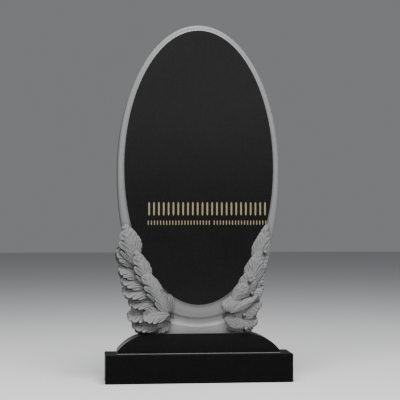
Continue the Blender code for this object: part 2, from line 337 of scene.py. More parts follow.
gilt = {
    "base": (0.30, 0.255, 0.135, 1.0),
    "worn": (0.20, 0.170, 0.090, 1.0),
    "wearScale": 300,
    "wearRange": (0.38, 0.62),
    "roughness": (0.38, 0.58),
    "metallic": 0.35,
}


def giltPaint():
    # dull gold paint laid in the shallow cuts
    finish, nodes, links, shader = newFinish("giltPaint")
    coords = addNode(nodes, "ShaderNodeTexCoord")
    wear = noiseOn(nodes, links, coords, gilt["wearScale"], detail=4.0, roughness=0.6)
    spread = rangeOf(nodes, links, wear, *gilt["wearRange"], 0.0, 1.0)
    colour = mixOf(nodes, links, spread, gilt["worn"], gilt["base"])
    links.new(colour, shader.inputs["Base Color"])
    rough = rangeOf(nodes, links, wear, *noiseRange, *gilt["roughness"])
    links.new(rough, shader.inputs["Roughness"])
    shader.inputs["Metallic"].default_value = gilt["metallic"]
    return finish


paste = {"dark": 0.096, "light": 0.144, "grainScale": 500, "roughness": 0.8}


def jointPaste():
    finish, nodes, links, shader = newFinish("jointPaste")
    coords = addNode(nodes, "ShaderNodeTexCoord")
    grain = noiseOn(nodes, links, coords, paste["grainScale"])
    colour = mixOf(nodes, links, grain, grey(paste["dark"]), grey(paste["light"]))
    links.new(colour, shader.inputs["Base Color"])
    shader.inputs["Roughness"].default_value = paste["roughness"]
    return finish


# the tone of each carved surface against the plainly carved one; the neck and its upward slope are lifted
# with painted light against the shade under the oval, and the sides are darker, with faces turned downward
# given the same dark tone as painted shade
tonesAndPaintedLight = {"carved": 1.0, "leaf": 1.10, "neck": 1.2, "litSlope": 2.15, "side": 0.50, "shoulder": 0.72}
finishes = {key: carvedGranite(key + "Granite", tone) for key, tone in tonesAndPaintedLight.items()}
finishes["face"] = polishedGranite("polishedFace", faceFinish)
finishes["base"] = polishedGranite("polishedBase", baseFinish)
finishes["foot"] = polishedGranite("polishedFoot", footFinish)
finishes["honed"] = honedGranite()
finishes["gilt"] = giltPaint()
finishes["paste"] = jointPaste()
print("finishes made:", len(finishes))


# the slab itself
def ovalRing(halfWidth, halfHeight, midZ, lowerPower):
    # an oval whose lower half is an ellipse, or a little fuller than one
    ring = []
    for i in range(slab["segments"]):
        angle = 2 * math.pi * i / slab["segments"]
        x, z = math.cos(angle), math.sin(angle)
        if z < 0:
            x = math.copysign(abs(x) ** (2 / lowerPower), x)
            z = -(abs(z) ** (2 / lowerPower))
        ring.append(Vector((halfWidth * x, 0, midZ + halfHeight * z)))
    return ring


def atDepth(ring, y):
    return [Vector((p.x, y, p.z)) for p in ring]


def ovalSections():
    # rings from the back, round the side wall and the rim, to the polished face
    outer = ovalRing(slab["halfWidth"], ovalHalfHeight, ovalMidZ, slab["lowerFullness"])
    grow = slab["faceBevel"]
    inner = ovalRing(faceHalfWidth + grow, faceHalfHeight + grow, faceMidZ, slab["faceFullness"])
    face = ovalRing(faceHalfWidth, faceHalfHeight, faceMidZ, slab["faceFullness"])
    cut = slab["backArris"]
    backRing = ovalRing(slab["halfWidth"] - cut, ovalHalfHeight - cut, ovalMidZ, slab["lowerFullness"])
    arris = slab["faceArris"]
    flat = ovalRing(faceHalfWidth - arris, faceHalfHeight - arris, faceMidZ, slab["faceFullness"])
    sections = [atDepth(backRing, backY), atDepth(outer, backY - cut)]
    for i in range(slab["rimStations"] + 1):
        turn = math.pi / 2 * (1 - i / slab["rimStations"])
        station = math.sin(turn) ** (2 / slab["rimRoundness"])
        ring = [a.lerp(b, station) for a, b in zip(inner, outer)]
        sections.append(atDepth(ring, faceY + slab["faceStep"] + slab["rimDrop"] * (1 - math.cos(turn))))
    sections.append(atDepth(face, faceY + arris))
    sections.append(atDepth(flat, faceY))
    return sections


def ovalBody():
    shape = bmesh.new()
    rings = [[shape.verts.new(p) for p in ring] for ring in ovalSections()]
    count = slab["segments"]
    for low, high in zip(rings, rings[1:]):
        for i in range(count):
            shape.faces.new((low[i], low[(i + 1) % count], high[(i + 1) % count], high[i]))
    shape.faces.new(rings[0])
    shape.faces.new(rings[-1])
    return meshFrom("ovalBody", shape)


def plateBody(name, outline, frontY, arris=0.0):
    # an outline pushed back to the slab's back, with its front edge just broken
    shape = bmesh.new()
    face = shape.faces.new([shape.verts.new((x, frontY, z)) for x, z in outline])
    grown = bmesh.ops.extrude_face_region(shape, geom=[face])
    moved = [part for part in grown["geom"] if isinstance(part, bmesh.types.BMVert)]
    bmesh.ops.translate(shape, verts=moved, vec=(0, backY - frontY, 0))
    if arris:
        near = slab["samePlane"]
        edges = [e for e in shape.edges if all(abs(v.co.y - frontY) < near for v in e.verts)]
        bmesh.ops.bevel(shape, geom=edges, offset=arris, segments=1, affect="EDGES")
    return meshFrom(name, shape)


def footOutline():
    drop = slab["footHeight"] - slab["footEndHeight"]
    radius = slab["shoulderRadius"]
    sweep = math.acos(1 - drop / radius)
    levelX = slab["halfWidth"] - radius * math.sin(sweep)
    right = [(slab["halfWidth"], steleLow.z)]
    for i in range(slab["shoulderSteps"] + 1):
        angle = sweep * (1 - i / slab["shoulderSteps"])
        right.append((levelX + radius * math.sin(angle), footTopZ - radius * (1 - math.cos(angle))))
    return right + [(-x, z) for x, z in reversed(right)]


def neckBody():
    # upright over the foot, then sloping back under the oval from a shallow arc
    shape = bmesh.new()
    topZ = ovalBottomZ + slab["rimBottom"]
    rows = [[], [], []]
    for i in range(slab["neckColumns"] + 1):
        x = slab["neckReach"] * slab["halfWidth"] * (2 * i / slab["neckColumns"] - 1)
        arcZ = footTopZ + slab["neckBand"] + x * x / (2 * slab["neckArcRadius"])
        rows[0].append(shape.verts.new((x, neckY, footTopZ - slab["footHeight"] / 2)))
        rows[1].append(shape.verts.new((x, neckY, arcZ)))
        rows[2].append(shape.verts.new((x, neckY + slab["neckSlope"] * (topZ - arcZ), topZ)))
    for low, high in zip(rows, rows[1:]):
        for i in range(slab["neckColumns"]):
            shape.faces.new((low[i], low[i + 1], high[i + 1], high[i]))
    rim = rows[0] + [rows[1][-1]] + rows[2][::-1] + [rows[1][0]]
    rear = [shape.verts.new((v.co.x, backY, v.co.z)) for v in rim]
    for i in range(len(rim)):
        j = (i + 1) % len(rim)
        shape.faces.new((rim[i], rim[j], rear[j], rear[i]))
    shape.faces.new(rear)
    return meshFrom("neckBody", shape)


def groundOutline(side, low, high):
    # the rough ground behind a branch swings from the foot up into the oval's side
    outline = []
    for i in range(slab["groundSteps"] + 1):
        up = i / slab["groundSteps"]
        point = onStele(side * (low + (high - low) * math.sqrt(up)), up, 0)
        outline.append((point.x, point.z))
    outline[0] = (outline[0][0], outline[0][1] - slab["footHeight"] / 4)
    inside = side * slab["groundInside"] * slab["halfWidth"]
    return outline + [(inside, outline[-1][1]), (inside, outline[0][1])]


slabFinishes = ("carved", "face", "foot", "side", "honed", "neck", "litSlope", "shoulder")
# how far a face's normal has to point one way, or under "sideways" not to the front or the back
looking = {"broadly": 0.5, "squarely": 0.9, "sideways": 0.35, "upward": 0.1}


def finishKey(face):
    middle, normal = face.center, face.normal
    neckHalfWidth = slab["neckReach"] * slab["halfWidth"]
    if normal.y > looking["broadly"] and middle.y > backY - 2 * slab["backArris"]:
        return "honed"
    if normal.y < -looking["broadly"] and middle.y < faceY + 1.5 * slab["faceArris"]:
        return "face" if middle.z > footTopZ else "foot"
    if middle.z < footTopZ - 2 * slab["footArris"] and middle.y < faceY + slab["footArris"]:
        return "foot"
    underRim = middle.z < ovalBottomZ + slab["rimBottom"]
    nearNeck = abs(middle.y - neckY) < slab["rimBottom"] * slab["neckSlope"]
    # painted light: the neck, and most of all its upward slope, take lifted copies of the carved granite
    if underRim and nearNeck and abs(middle.x) < neckHalfWidth and normal.y < -looking["squarely"]:
        return "litSlope" if normal.z > slab["neckSlope"] / 2 else "neck"
    sideways = abs(normal.y) < looking["sideways"]
    if sideways and middle.z < footTopZ + slab["footArris"] and normal.z > looking["upward"]:
        return "shoulder"
    # painted shade: faces turned downward take the dark side tone
    if abs(normal.y) < looking["broadly"] and normal.z < -looking["broadly"]:
        return "side"
    if sideways and (abs(middle.x) > neckHalfWidth or middle.z > ovalMidZ):
        return "side"
    return "carved"


def makeSlab():
    body = linkNew("carvedSlab", ovalBody())
    tools = [
        linkNew("neckTool", neckBody()),
        linkNew("footTool", plateBody("footBody", footOutline(), faceY, slab["footArris"])),
        linkNew("oakGroundTool", plateBody("oakGround", groundOutline(-1, *slab["oakGround"]), groundY)),
        linkNew("bayGroundTool", plateBody("bayGround", groundOutline(1, *slab["bayGround"]), groundY)),
    ]
    for tool in tools:
        joined = body.modifiers.new(tool.name, "BOOLEAN")
        joined.operation = "UNION"
        joined.solver = "EXACT"
        joined.object = tool
    mesh = plainMesh(body)
    for tool in tools:
        bpy.data.objects.remove(tool, do_unlink=True)
    shape = bmesh.new()
    shape.from_mesh(mesh)
    bmesh.ops.remove_doubles(shape, verts=shape.verts, dist=slab["mergeDistance"])
    shape.to_mesh(mesh)
    shape.free()
    mesh.shade_smooth()
    mesh.set_sharp_from_angle(angle=math.radians(slab["smoothAngle"]))
    mesh.materials.clear()
    for key in slabFinishes:
        mesh.materials.append(finishes[key])
    for face in mesh.polygons:
        face.material_index = slabFinishes.index(finishKey(face))
    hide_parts("stele")
    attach(body, "root")


makeSlab()
print("slab joined")


# one Geometry Nodes tree sets out everything that repeats: leaves, berries and strokes
def scatterTree():
    tree = bpy.data.node_groups.new("setOutOnPoints", "GeometryNodeTree")
    inputs = {
        "Geometry": "NodeSocketGeometry",
        "Shapes": "NodeSocketCollection",
        "Tool Marks": "NodeSocketFloat",
        "Mark Size": "NodeSocketFloat",
        "Finish": "NodeSocketMaterial",
    }
    for name, kind in inputs.items():
        tree.interface.new_socket(name, in_out="INPUT", socket_type=kind)
    tree.interface.new_socket("Geometry", in_out="OUTPUT", socket_type="NodeSocketGeometry")
    nodes, links = tree.nodes, tree.links
    given = nodes.new("NodeGroupInput")
    result = nodes.new("NodeGroupOutput")

    shapes = addNode(nodes, "GeometryNodeCollectionInfo", transform_space="ORIGINAL")
    shapes.inputs["Separate Children"].default_value = True
    shapes.inputs["Reset Children"].default_value = True
    links.new(given.outputs["Shapes"], shapes.inputs["Collection"])

    def named(name, kind):
        node = addNode(nodes, "GeometryNodeInputNamedAttribute", data_type=kind)
        node.inputs["Name"].default_value = name
        return node.outputs["Attribute"]

    turned = nodes.new("FunctionNodeEulerToRotation")
    links.new(named("turn", "FLOAT_VECTOR"), turned.inputs["Euler"])
    setOut = nodes.new("GeometryNodeInstanceOnPoints")
    setOut.inputs["Pick Instance"].default_value = True
    links.new(given.outputs["Geometry"], setOut.inputs["Points"])
    links.new(shapes.outputs["Instances"], setOut.inputs["Instance"])
    links.new(named("shape", "INT"), setOut.inputs["Instance Index"])
    links.new(turned.outputs["Rotation"], setOut.inputs["Rotation"])
    links.new(named("reach", "FLOAT_VECTOR"), setOut.inputs["Scale"])
    made = nodes.new("GeometryNodeRealizeInstances")
    links.new(setOut.outputs["Instances"], made.inputs["Geometry"])

    # hand work: no two leaves come out quite alike
    position = nodes.new("GeometryNodeInputPosition")
    inverse = addNode(nodes, "ShaderNodeMath", operation="DIVIDE")
    inverse.inputs[0].default_value = 1.0
    links.new(given.outputs["Mark Size"], inverse.inputs[1])
    wobble = nodes.new("ShaderNodeTexNoise")
    wobble.inputs["Detail"].default_value = 2.0
    links.new(position.outputs["Position"], wobble.inputs["Vector"])
    links.new(inverse.outputs[0], wobble.inputs["Scale"])
    centred = addNode(nodes, "ShaderNodeVectorMath", operation="SUBTRACT")
    centred.inputs[1].default_value = (0.5, 0.5, 0.5)
    links.new(wobble.outputs["Color"], centred.inputs[0])
    sized = addNode(nodes, "ShaderNodeVectorMath", operation="SCALE")
    links.new(centred.outputs["Vector"], sized.inputs["Vector"])
    links.new(given.outputs["Tool Marks"], sized.inputs["Scale"])
    moved = nodes.new("GeometryNodeSetPosition")
    links.new(made.outputs["Geometry"], moved.inputs["Geometry"])
    links.new(sized.outputs["Vector"], moved.inputs["Offset"])
    finished = nodes.new("GeometryNodeSetMaterial")
    links.new(moved.outputs["Geometry"], finished.inputs["Geometry"])
    links.new(given.outputs["Finish"], finished.inputs["Material"])
    links.new(finished.outputs["Geometry"], result.inputs["Geometry"])
    return tree


setOutTree = scatterTree()


def setOut(name, points, shapes, piece, finish):
    # points are (place, turn matrix, reach, shape number); the shapes are meshes
    holder = bpy.data.collections.new(name + "Shapes")
    bpy.context.scene.collection.children.link(holder)
    for number, mesh in enumerate(shapes):
        holder.objects.link(bpy.data.objects.new(f"{name}Shape{number:02d}", mesh))
    mesh = bpy.data.meshes.new(name)
    mesh.from_pydata([place for place, turn, reach, shape in points], [], [])
    for label, kind in (("turn", "FLOAT_VECTOR"), ("reach", "FLOAT_VECTOR"), ("shape", "INT")):
        mesh.attributes.new(label, kind, "POINT")
    for i, (place, turn, reach, shape) in enumerate(points):
        mesh.attributes["turn"].data[i].vector = turn.to_euler()
        mesh.attributes["reach"].data[i].vector = reach
        mesh.attributes["shape"].data[i].value = shape
    thing = linkNew(name, mesh)
    layer = thing.modifiers.new("setOut", "NODES")
    layer.node_group = setOutTree
    values = {
        "Shapes": holder,
        "Tool Marks": piece["toolMarks"],
        "Mark Size": piece["markSize"],
        "Finish": finish,
    }
    for item in setOutTree.interface.items_tree:
        if item.in_out == "INPUT" and item.name in values:
            layer[item.identifier] = values[item.name]
    made = plainMesh(thing)
    for shapeObject in list(holder.objects):
        bpy.data.objects.remove(shapeObject, do_unlink=True)
    bpy.data.collections.remove(holder)
    made.shade_smooth()
    made.set_sharp_from_angle(angle=math.radians(piece["sharpAngle"]))
    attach(thing, "root")
    print(name, "has", len(made.polygons), "faces")
    return thing


# leaf blades, one unit long and one unit to each side, with their relief in metres
blade = {
    "rows": 108,
    "columns": 44,
    "depth": 0.046,
    "undercut": (0.0, 0.16, 0.22),       # how far each ring below the edge draws in
    "undercutDepth": (0.09, 0.30, 1.0),
    "endWidth": 0.02,
    "rise": 0.010,
    "arch": 0.8,
    "bend": 1.1,                          # the edges swing towards the tip
    "lobeRoundness": 0.5,
    "unevenness": 0.05,
    "lobeWaves": (5, 0),
    "crowding": 1.4,                      # rows lie closer together by the root
    "seedStep": 2.7,
    "seedStart": 0.5,
}
# bays are the cuts between lobes, on the side across the leaf and on the other one;
# slant is how much further the veins sweep to the tip than the edges do
oakBlades = (
    {"lobes": 4, "bays": (0.24, 0.16), "widest": 0.36, "fullness": 0.34, "lean": 0.38, "slant": 0.26,
     "crown": -0.003, "swell": 0.0018, "valley": 0.0030, "midrib": 0.0020, "streaks": 0,
     "gouge": 0.0045},                                    # the tip is scooped out on one half
    {"lobes": 4, "bays": (0.24, 0.18), "widest": 0.34, "fullness": 0.40, "lean": 0.38, "slant": 0.30,
     "crown": -0.003, "swell": 0.0016, "valley": 0.0030, "midrib": 0.0014, "streaks": 0},
    {"lobes": 4, "bays": (0.52, 0.07), "widest": 0.20, "fullness": 0.46, "lean": 0.34, "slant": 0.22,
     "crown": 0.006, "swell": 0.0040, "valley": 0.0044, "midrib": 0.0004, "streaks": 9},
    {"lobes": 3, "bays": (0.24, 0.24), "widest": 0.36, "fullness": 0.40, "lean": 0.34, "slant": 0.20,
     "crown": -0.003, "swell": 0.0016, "valley": 0.0024, "midrib": 0.0012, "streaks": 0},
    {"lobes": 1, "bays": (0.0, 0.0), "widest": 0.50, "fullness": 0.50, "lean": 0.0, "slant": 0.0,
     "crown": 0.003, "curls": 2.4},                       # the curl at the root, one arc in another
)
bayBlades = (
    {"lobes": 4, "bays": (0.05, 0.05), "widest": 0.24, "fullness": 0.60, "lean": 0.34, "slant": 0.40,
     "crown": 0.005, "ribs": 8, "vein": 0.0026, "drift": 0.06},
    {"lobes": 3, "bays": (0.02, 0.06), "widest": 0.20, "fullness": 0.56, "lean": 0.34, "slant": 0.46,
     "crown": 0.007, "ribs": 9, "vein": 0.0024, "drift": 0.07},
    {"lobes": 4, "bays": (0.12, 0.12), "widest": 0.26, "fullness": 0.55, "lean": 0.36, "slant": 0.30,
     "crown": -0.002, "ribs": 7, "vein": 0.0030, "drift": 0.05},
    {"lobes": 3, "bays": (0.03, 0.05), "widest": 0.30, "fullness": 0.32, "lean": 0.16, "slant": 0.58,
     "crown": 0.006, "ribs": 10, "vein": 0.0026, "drift": 0.08},
    {"lobes": 3, "bays": (0.02, 0.06), "widest": 0.20, "fullness": 0.56, "lean": 0.34, "slant": 0.80,
     "crown": 0.007, "ribs": 3, "vein": 0.0014, "drift": 0.03},      # the strap across the others
)


def bump(distance, width):
    return math.exp(-(distance / width) ** 2)


def wander(u, v, waves, seed):
    # a slow drift from -1 to 1 that differs from leaf to leaf
    leafZ = blade["seedStep"] * seed + blade["seedStart"]
    return noise.noise(Vector((waves[0] * u, waves[1] * v, leafZ)))


def lobePhase(u, kind, seed):
    # no two lobes are quite the same size; the last one stands on the tip itself
    uneven = blade["unevenness"] * wander(u, 0, blade["lobeWaves"], seed) * math.sin(math.pi * u)
    return (kind["lobes"] - 0.5) * (u + uneven)


def bladeWidth(u, kind, side, seed):
    swell = u ** math.log(0.5, kind["widest"])
    full = max(0.0, math.sin(math.pi * swell)) ** kind["fullness"]
    wave = abs(math.sin(math.pi * lobePhase(u, kind, seed))) ** blade["lobeRoundness"]
    return max(blade["endWidth"], full * (1 - kind["bays"][side] * (1 - wave)))


def swept(u, v, kind):
    # where the vein through this point comes out at the edge
    return u + kind["slant"] * (1 - abs(v)) * (1 - u)


# the cuts below: heights in metres, the rest in shares of the leaf, of its half width or of one lobe; each
# dark value is how much painted shade a cut gets
streak = {
    "width": 0.20,
    "start": 0.2,
    "leastDepth": 0.2,
    "meanDepth": 0.65,
    "depthDrift": 0.5,
    "depthWaves": (9, 5),
    "driftWaves": (4, 2.5),
    "fineCount": 3,
    "fineHeight": 0.0003,
    "fineAtMidrib": 0.4,
    "dark": 0.85,
    "fineDark": 0.12,
    "seedShift": 20,
}


def streakRelief(u, v, kind, seed):
    # long soft cuts that run out to the edge, none of them even
    side = abs(v)
    drift = kind["drift"] * wander(u, v, streak["driftWaves"], seed)
    phase = (kind["ribs"] * (swept(u, v, kind) + drift)) % 1.0
    uneven = wander(u, v, streak["depthWaves"], seed + streak["seedShift"])
    deep = streak["meanDepth"] + streak["depthDrift"] * uneven
    started = min(1.0, side / streak["start"])
    groove = bump(min(phase, 1 - phase), streak["width"]) * started * max(streak["leastDepth"], deep)
    fine = math.cos(2 * math.pi * streak["fineCount"] * phase)
    fine *= streak["fineAtMidrib"] + (1 - streak["fineAtMidrib"]) * side
    height = streak["fineHeight"] * fine - kind["vein"] * groove
    # the second value is the painted shade down in the grooves
    return height, max(streak["dark"] * groove, streak["fineDark"] * (1 - fine))


curl = {"width": 0.20, "depth": 0.0026, "shift": 0.5}


def curlRelief(v, kind):
    # one arc inside another, with painted shade in the groove
    side = abs(v)
    phase = (kind["curls"] * side + curl["shift"]) % 1.0
    groove = bump(min(phase, 1 - phase), curl["width"])
    return kind["crown"] * (1 - side * side) - curl["depth"] * groove, groove


oakCut = {
    "midrib": {"width": 0.05, "fade": 0.6, "dark": 400},      # dark for each metre of its depth
    "lip": {"place": 0.92, "width": 0.06, "height": 0.0012, "darkest": 0.5},
    "edge": {"place": 0.90, "width": 0.10, "depth": 0.0020},
    "streaks": {"drift": 0.06, "vein": 0.0022, "slant": 0.2},
    "valley": {"width": 0.055, "start": 0.9, "dark": 0.9},
    "scoop": {"phase": 0.55, "phaseWidth": 0.20, "place": 0.62, "width": 0.24, "depth": 0.8, "dark": 0.4},
    "crease": {"phase": 0.55, "phaseWidth": 0.05, "place": 0.45, "width": 0.34, "depth": 0.0008, "dark": 0.5},
    "stroke": {"count": 4, "drift": 2, "waves": (3, 3), "depth": 0.0004, "dark": 0.22},
    "gouge": {"along": 0.80, "length": 0.15, "place": -0.42, "width": 0.26, "dark": 0.5},
}


def oakRelief(u, v, kind, seed):
    # height towards the viewer, and the painted shade; a lip is struck where no cut crosses it
    if "curls" in kind:
        return curlRelief(v, kind)
    side = abs(v)
    rib, lip, edge = oakCut["midrib"], oakCut["lip"], oakCut["edge"]
    midrib = bump(side, rib["width"]) * (1 - rib["fade"] * u)
    struck = bump(side - lip["place"], lip["width"])
    outside = max(0.0, (side - edge["place"]) / edge["width"]) ** 2
    height = kind["crown"] * (1 - side * side) + lip["height"] * struck
    height -= edge["depth"] * outside + kind["midrib"] * midrib
    if kind["streaks"] and v < 0:
        streaks = dict(oakCut["streaks"], ribs=kind["streaks"])
        streaks["slant"] += kind["slant"]
        cut, shadeAndBruise = streakRelief(u, v, streaks, seed)
        return height + cut, shadeAndBruise
    vale, bowl, line, tool = oakCut["valley"], oakCut["scoop"], oakCut["crease"], oakCut["stroke"]
    phase = lobePhase(swept(u, v, kind), kind, seed) % 1.0
    wave = abs(math.sin(math.pi * phase))
    fromMidrib = min(1.0, side / vale["start"])
    valley = bump(min(phase, 1 - phase), vale["width"]) * fromMidrib * (1 - u ** 4)
    scoop = bump(phase - bowl["phase"], bowl["phaseWidth"]) * bump(side - bowl["place"], bowl["width"])
    crease = bump(phase - line["phase"], line["phaseWidth"]) * bump(side - line["place"], line["width"])
    turn = 2 * math.pi * tool["count"] * phase + tool["drift"] * wander(u, v, tool["waves"], seed)
    stroke = math.cos(turn) * (1 - side ** 4)
    height += kind["swell"] * (wave ** 0.5 * fromMidrib - bowl["depth"] * scoop)
    height -= kind["valley"] * valley + line["depth"] * crease - tool["depth"] * stroke
    # painted shade in the valleys, scoops, creases and tool strokes, and along the midrib
    shadeAndBruise = max(vale["dark"] * valley, bowl["dark"] * scoop, line["dark"] * crease)
    shadeAndBruise = max(shadeAndBruise, rib["dark"] * kind["midrib"] * midrib, tool["dark"] * (1 - stroke))
    if "gouge" in kind:
        scar = oakCut["gouge"]
        gouge = bump(u - scar["along"], scar["length"]) * bump(v - scar["place"], scar["width"])
        height -= kind["gouge"] * gouge
        shadeAndBruise = max(shadeAndBruise, scar["dark"] * gouge)
    return height, shadeAndBruise - carving["worn"] * struck * max(0.0, 1 - shadeAndBruise / lip["darkest"])


bayCut = {
    "crease": {"width": 0.07, "fade": 0.5, "depth": 0.0008, "dark": 0.3},
    "edge": {"place": 0.86, "width": 0.14, "depth": 0.0022},
    "swell": 0.0012,
}


def bayRelief(u, v, kind, seed):
    side = abs(v)
    line, edge = bayCut["crease"], bayCut["edge"]
    cut, shadeAndBruise = streakRelief(u, v, kind, seed)
    crease = bump(side, line["width"]) * (1 - line["fade"] * u)
    wave = abs(math.sin(math.pi * lobePhase(u, kind, seed)))
    outside = max(0.0, (side - edge["place"]) / edge["width"]) ** 2
    height = kind["crown"] * (1 - side * side) + bayCut["swell"] * wave * side + cut
    height -= line["depth"] * crease + edge["depth"] * outside
    return height, max(shadeAndBruise, line["dark"] * crease)


def bladeMesh(name, kind, relief, seed):
    rows, columns = blade["rows"], blade["columns"]
    shape = bmesh.new()
    shadeAndBruiseLayer = shape.verts.layers.float.new("shadeAndBruise")
    grid = []
    for i in range(rows + 1):
        u = (i / rows) ** blade["crowding"]
        rise = blade["rise"] * (math.sin(blade["arch"] * math.pi * u) - 0.5)
        widths = [bladeWidth(u, kind, side, seed) for side in (0, 1)]
        row = []
        for j in range(columns + 1):
            v = math.sin(math.pi / 2 * (2 * j / columns - 1))      # closer together at the edges
            height, shadeAndBruise = relief(u, v, kind, seed)
            width = widths[0 if v > 0 else 1]
            along = u + kind["lean"] * (abs(v) * width) ** blade["bend"] * (1 - u)
            vertex = shape.verts.new((along, v * width, height + rise))
            vertex[shadeAndBruiseLayer] = min(1.0, shadeAndBruise)
            row.append(vertex)
        grid.append(row)
    for low, high in zip(grid, grid[1:]):
        for j in range(columns):
            shape.faces.new((low[j], low[j + 1], high[j + 1], high[j]))
    rim = grid[0] + [row[-1] for row in grid[1:-1]]
    rim += grid[-1][::-1] + [row[0] for row in grid[-2:0:-1]]
    above = rim
    for draw, share in zip(blade["undercut"], blade["undercutDepth"]):
        below = []
        for vertex in rim:
            x = vertex.co.x + (0.5 - vertex.co.x) * draw
            y = vertex.co.y * (1 - draw)
            z = vertex.co.z + (-blade["depth"] - vertex.co.z) * share
            placed = shape.verts.new((x, y, z))
            # the undercut sides below the edge are painted in full shade
            placed[shadeAndBruiseLayer] = 1.0
            below.append(placed)
        for i in range(len(rim)):
            j = (i + 1) % len(rim)
            shape.faces.new((above[i], above[j], below[j], below[i]))
        above = below
    shape.faces.new(above)
    return meshFrom(name, shape)


# a leaf: root across and up, tip across and up, half width, roll, depth behind the face, blade
oakBranch = {
    "side": -1,
    "toolMarks": 0.0016,
    "markSize": 0.022,
    "sharpAngle": 50,
    "leaves": (
        (0.430, 0.072, 0.825, 0.080, 0.066, 0.50, 0.005, 0),
        (0.345, 0.110, 0.520, 0.020, 0.052, 0.20, 0.008, 3),
        (0.490, 0.205, 0.885, 0.157, 0.078, 0.50, 0.004, 0),
        (0.480, 0.285, 0.872, 0.294, 0.072, 0.45, 0.003, 0),
        (0.540, 0.378, 0.948, 0.398, 0.080, 0.45, 0.001, 0),
        (0.610, 0.425, 0.960, 0.530, 0.082, 0.40, 0.003, 0),
        (0.690, 0.510, 0.985, 0.625, 0.078, 0.40, 0.005, 0),
        (0.740, 0.590, 1.005, 0.790, 0.076, 0.35, 0.006, 1),
        (0.771, 0.610, 0.915, 1.008, 0.113, 0.05, -0.002, 2),
        (0.585, 0.390, 0.795, 0.775, 0.084, 0.10, -0.003, 2),
        (0.430, 0.240, 0.710, 0.600, 0.082, 0.10, -0.004, 2),
        (0.365, 0.100, 0.500, 0.402, 0.074, 0.10, -0.004, 1),
        (0.358, 0.185, 0.366, 0.365, 0.044, 0.10, 0.001, 4),
        (0.350, 0.190, 0.695, 0.152, 0.078, 0.40, -0.010, 0),
    ),
}
bayBranch = {
    "side": 1,
    "toolMarks": 0.0014,
    "markSize": 0.026,
    "sharpAngle": 50,
    "leaves": (
        (0.345, 0.035, 0.680, 0.040, 0.050, 0.20, 0.014, 2),
        (0.310, 0.135, 0.730, 0.101, 0.082, 0.30, 0.004, 3),
        (0.420, 0.160, 0.785, 0.280, 0.092, 0.35, 0.002, 1),
        (0.540, 0.300, 0.806, 0.432, 0.076, 0.40, 0.004, 0),
        (0.560, 0.370, 0.806, 0.598, 0.080, 0.35, 0.005, 2),
        (0.590, 0.470, 0.870, 0.764, 0.076, 0.35, 0.005, 0),
        (0.690, 0.540, 0.845, 1.006, 0.088, 0.03, -0.002, 1),
        (0.615, 0.380, 0.745, 0.770, 0.094, 0.05, -0.003, 1),
        (0.530, 0.280, 0.660, 0.610, 0.088, 0.05, -0.004, 0),
        (0.600, 0.295, 0.280, 0.245, 0.080, 0.20, -0.002, 3),
        (0.385, 0.270, 0.640, 0.500, 0.068, 0.15, -0.005, 0),
        (0.380, 0.186, 0.735, 0.345, 0.044, 0.30, -0.011, 4),
    ),
}


def leafPoint(side, leaf):
    rootAcross, rootUp, tipAcross, tipUp, halfWidth, roll, depth, number = leaf
    root = onStele(side * rootAcross, rootUp, faceY + depth)
    tip = onStele(side * tipAcross, tipUp, faceY + depth)
    length = (tip - root).length
    along = (tip - root) / length
    across = outward.cross(along)
    lean = math.atan(roll)
    if across.z < 0:
        lean = -lean
    across = across * math.cos(lean) - outward * math.sin(lean)
    up = along.cross(across)
    turn = Matrix((along, across, up)).transposed()
    width = halfWidth * slab["branchHeight"] / math.cos(lean)
    return root, turn, Vector((length, width, 1.0)), number


def makeBranch(name, branch, kinds, relief):
    shapes, points = [], []
    for seed, leaf in enumerate(branch["leaves"]):
        root, turn, reach, kind = leafPoint(branch["side"], leaf)
        shapes.append(bladeMesh(f"{name}Blade{seed:02d}", kinds[kind], relief, seed))
        points.append((root, turn, reach, seed))
    return setOut(name, points, shapes, branch, finishes["leaf"])


oak = makeBranch("oakBranch", oakBranch, oakBlades, oakRelief)
bay = makeBranch("bayBranch", bayBranch, bayBlades, bayRelief)


# berries: (across, up, radius, depth)
berries = {
    "places": (
        (0.816, 0.750, 0.0057, -0.012),
        (0.628, 0.484, 0.0060, -0.013),
        (0.655, 0.368, 0.0054, -0.004),
        (0.555, 0.170, 0.0054, -0.011),
        (0.575, 0.043, 0.0054, -0.011),
    ),
    "toolMarks": 0.0011,
    "markSize": 0.008,
    "sharpAngle": 60,
    "segments": 32,
    "rings": 20,
    "turn": 7,                    # radians for each half width across, so that no two stand alike
    "pitReach": 1.3,              # each berry hangs over a long drilled pit, in shares of its radius
    "pitStretch": 1.6,
    "pitPlace": (-0.6, -1.5),
    "pitDepth": 0.9,
}


def drillPits(leaves):
    for across, up, radius, depth in berries["places"]:
        middle = onStele(across, up, faceY + depth)
        aside, below = berries["pitPlace"]
        for vertex, shadeAndBruise in zip(leaves.data.vertices, leaves.data.attributes["shadeAndBruise"].data):
            x = (vertex.co.x - middle.x) / radius - aside
            z = (vertex.co.z - middle.z) / radius - below
            away = math.hypot(x, z / berries["pitStretch"])
            if away < 2 * berries["pitReach"]:
                pit = bump(away, berries["pitReach"])
                vertex.co.y += berries["pitDepth"] * radius * pit
                # the pit is painted in shade as well as sunk
                shadeAndBruise.value = max(shadeAndBruise.value, pit)


def makeBerries():
    shape = bmesh.new()
    bmesh.ops.create_uvsphere(shape, u_segments=berries["segments"], v_segments=berries["rings"], radius=1.0)
    berry = meshFrom("berryShape", shape)
    points = []
    for across, up, radius, depth in berries["places"]:
        place = onStele(across, up, faceY + depth)
        turn = Matrix.Rotation(across * berries["turn"], 3, "Y")
        points.append((place, turn, Vector((radius, radius, radius)), 0))
    return setOut("berries", points, [berry], berries, finishes["carved"])


drillPits(bay)
makeBerries()


